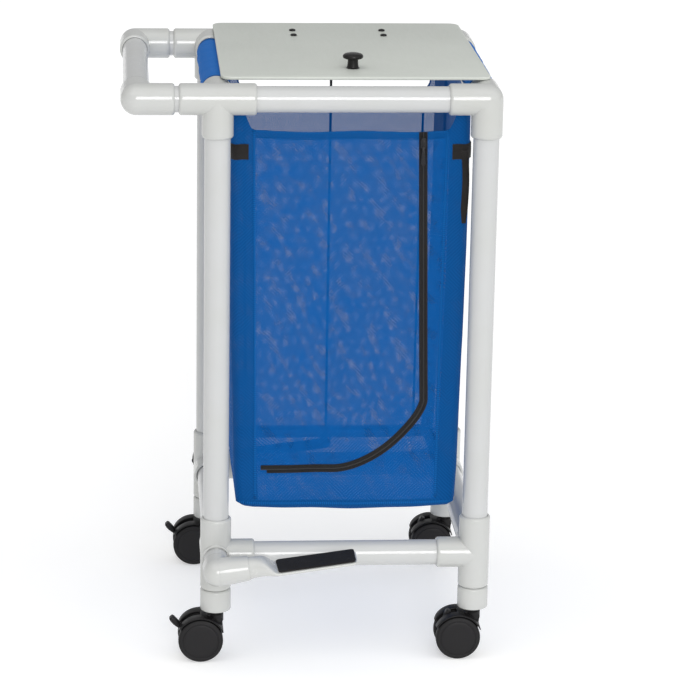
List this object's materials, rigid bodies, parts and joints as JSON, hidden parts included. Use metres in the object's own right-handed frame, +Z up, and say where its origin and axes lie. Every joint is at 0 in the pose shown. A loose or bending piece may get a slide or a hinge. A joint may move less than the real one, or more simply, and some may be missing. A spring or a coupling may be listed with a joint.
{
  "type": "linen hamper trolley",
  "caption": "Wheeled linen hamper: white pipe frame with push handle, hinged flat lid, hanging blue mesh bag with front zipper, foot pedal that lifts the lid, and swivelling twin-wheel casters.",
  "frame": {"origin": "on the floor, midway between the four corner posts", "axes": "+Z up, the zipped front of the bag faces -Y, the push handle is on the -X side"},
  "size_m": [0.6122, 0.6317, 1.0114],
  "materials": {
    "pipe": "glossy white PVC pipe",
    "fitting": "satin white PVC fitting",
    "paddle": "glossy white PVC",
    "lid": "satin grey plastic sheet",
    "black": "satin black nylon",
    "tyre": "dull black",
    "tread": "gritty black grip",
    "bag": "blue polyester mesh",
    "tape": "black woven tape",
    "webbing": "black webbing",
    "rod": "black coated steel",
    "steel": "black painted steel"
  },
  "bodies": {
    "frame": {"corner_top_fl": "fitting", "tee_low_fl": "fitting", "post_fl": "pipe", "caster_socket_fl": "fitting", "corner_top_fr": "fitting", "tee_low_fr": "fitting", "post_fr": "pipe", "caster_socket_fr": "fitting", "corner_top_bl": "fitting", "tee_low_bl": "fitting", "post_bl": "pipe", "caster_socket_bl": "fitting", "corner_top_br": "fitting", "tee_low_br": "fitting", "post_br": "pipe", "caster_socket_br": "fitting", "handle_elbow_f": "fitting", "handle_nipple_f": "pipe", "rail_top_f": "pipe", "rail_low_f": "pipe", "handle_elbow_b": "fitting", "handle_nipple_b": "pipe", "rail_top_b": "pipe", "rail_low_b": "pipe", "handle_grip": "pipe", "rail_top_l": "pipe", "rail_top_r": "pipe", "rail_low_r": "pipe", "bag": "bag", "zipper_tape": "tape", "strap_l": "webbing", "strap_r": "webbing"},
    "lid": {"lid": "lid", "knob": "black", "hinge_strap_l": "black", "hinge_strap_r": "black", "rod_bracket": "steel"},
    "pedal": {"pedal_shaft": "pipe", "pedal_elbow": "fitting", "pedal_arm": "paddle", "pedal_tread": "tread", "pedal_crank": "steel"},
    "rod": {"lift_rod": "rod"},
    "zip": {"zipper_slider": "steel"},
    "swivel_fl": {"caster_housing_fl": "black"},
    "wheels_fl": {"wheel_a_fl": "tyre", "wheel_b_fl": "tyre"},
    "brake_fl": {"brake_lever_fl": "black"},
    "swivel_fr": {"caster_housing_fr": "black"},
    "wheels_fr": {"wheel_a_fr": "tyre", "wheel_b_fr": "tyre"},
    "brake_fr": {"brake_lever_fr": "black"},
    "swivel_bl": {"caster_housing_bl": "black"},
    "wheels_bl": {"wheel_a_bl": "tyre", "wheel_b_bl": "tyre"},
    "brake_bl": {"brake_lever_bl": "black"},
    "swivel_br": {"caster_housing_br": "black"},
    "wheels_br": {"wheel_a_br": "tyre", "wheel_b_br": "tyre"},
    "brake_br": {"brake_lever_br": "black"}
  },
  "joints": [
    {"name": "lid_hinge", "type": "hinge", "parent": "frame", "child": "lid", "pos_m": [0, 0.2275, 0.955], "axis": [-1, 0, 0], "range_deg": [0, 70]},
    {"name": "pedal_press", "type": "hinge", "parent": "frame", "child": "pedal", "pos_m": [-0.216, 0, 0.183], "axis": [0, 1, 0], "range_deg": [0, 16]},
    {"name": "rod_pivot", "type": "hinge", "parent": "lid", "child": "rod", "pos_m": [0, 0.2775, 0.975], "axis": [1, 0, 0], "range_deg": [0, 70]},
    {"name": "zipper_slide", "type": "slide", "parent": "frame", "child": "zip", "axis": [0.0244, 0, -0.9997], "range_m": [0, 0.42]},
    {"name": "swivel_fl", "type": "hinge", "parent": "frame", "child": "swivel_fl", "pos_m": [-0.216, -0.2275, 0.1], "axis": [0, 0, 1], "continuous": true},
    {"name": "spin_fl", "type": "hinge", "parent": "swivel_fl", "child": "wheels_fl", "pos_m": [-0.241, -0.2275, 0.0375], "axis": [0, 1, 0], "continuous": true},
    {"name": "brake_fl", "type": "hinge", "parent": "swivel_fl", "child": "brake_fl", "pos_m": [-0.267, -0.2275, 0.046], "axis": [0, 1, 0], "range_deg": [0, 62]},
    {"name": "swivel_fr", "type": "hinge", "parent": "frame", "child": "swivel_fr", "pos_m": [0.216, -0.2275, 0.1], "axis": [0, 0, 1], "continuous": true},
    {"name": "spin_fr", "type": "hinge", "parent": "swivel_fr", "child": "wheels_fr", "pos_m": [0.191, -0.2275, 0.0375], "axis": [0, 1, 0], "continuous": true},
    {"name": "brake_fr", "type": "hinge", "parent": "swivel_fr", "child": "brake_fr", "pos_m": [0.165, -0.2275, 0.046], "axis": [0, 1, 0], "range_deg": [-62, 0]},
    {"name": "swivel_bl", "type": "hinge", "parent": "frame", "child": "swivel_bl", "pos_m": [-0.216, 0.2275, 0.1], "axis": [0, 0, 1], "continuous": true},
    {"name": "spin_bl", "type": "hinge", "parent": "swivel_bl", "child": "wheels_bl", "pos_m": [-0.241, 0.2275, 0.0375], "axis": [0, 1, 0], "continuous": true},
    {"name": "brake_bl", "type": "hinge", "parent": "swivel_bl", "child": "brake_bl", "pos_m": [-0.267, 0.2275, 0.046], "axis": [0, 1, 0], "range_deg": [0, 62]},
    {"name": "swivel_br", "type": "hinge", "parent": "frame", "child": "swivel_br", "pos_m": [0.216, 0.2275, 0.1], "axis": [0, 0, 1], "continuous": true},
    {"name": "spin_br", "type": "hinge", "parent": "swivel_br", "child": "wheels_br", "pos_m": [0.191, 0.2275, 0.0375], "axis": [0, 1, 0], "continuous": true},
    {"name": "brake_br", "type": "hinge", "parent": "swivel_br", "child": "brake_br", "pos_m": [0.165, 0.2275, 0.046], "axis": [0, 1, 0], "range_deg": [-62, 0]}
  ],
  "couplings": [
    {"joint": "pedal_press", "follows": "lid_hinge", "ratio": 0.2285},
    {"joint": "rod_pivot", "follows": "lid_hinge", "ratio": 1}
  ]
}
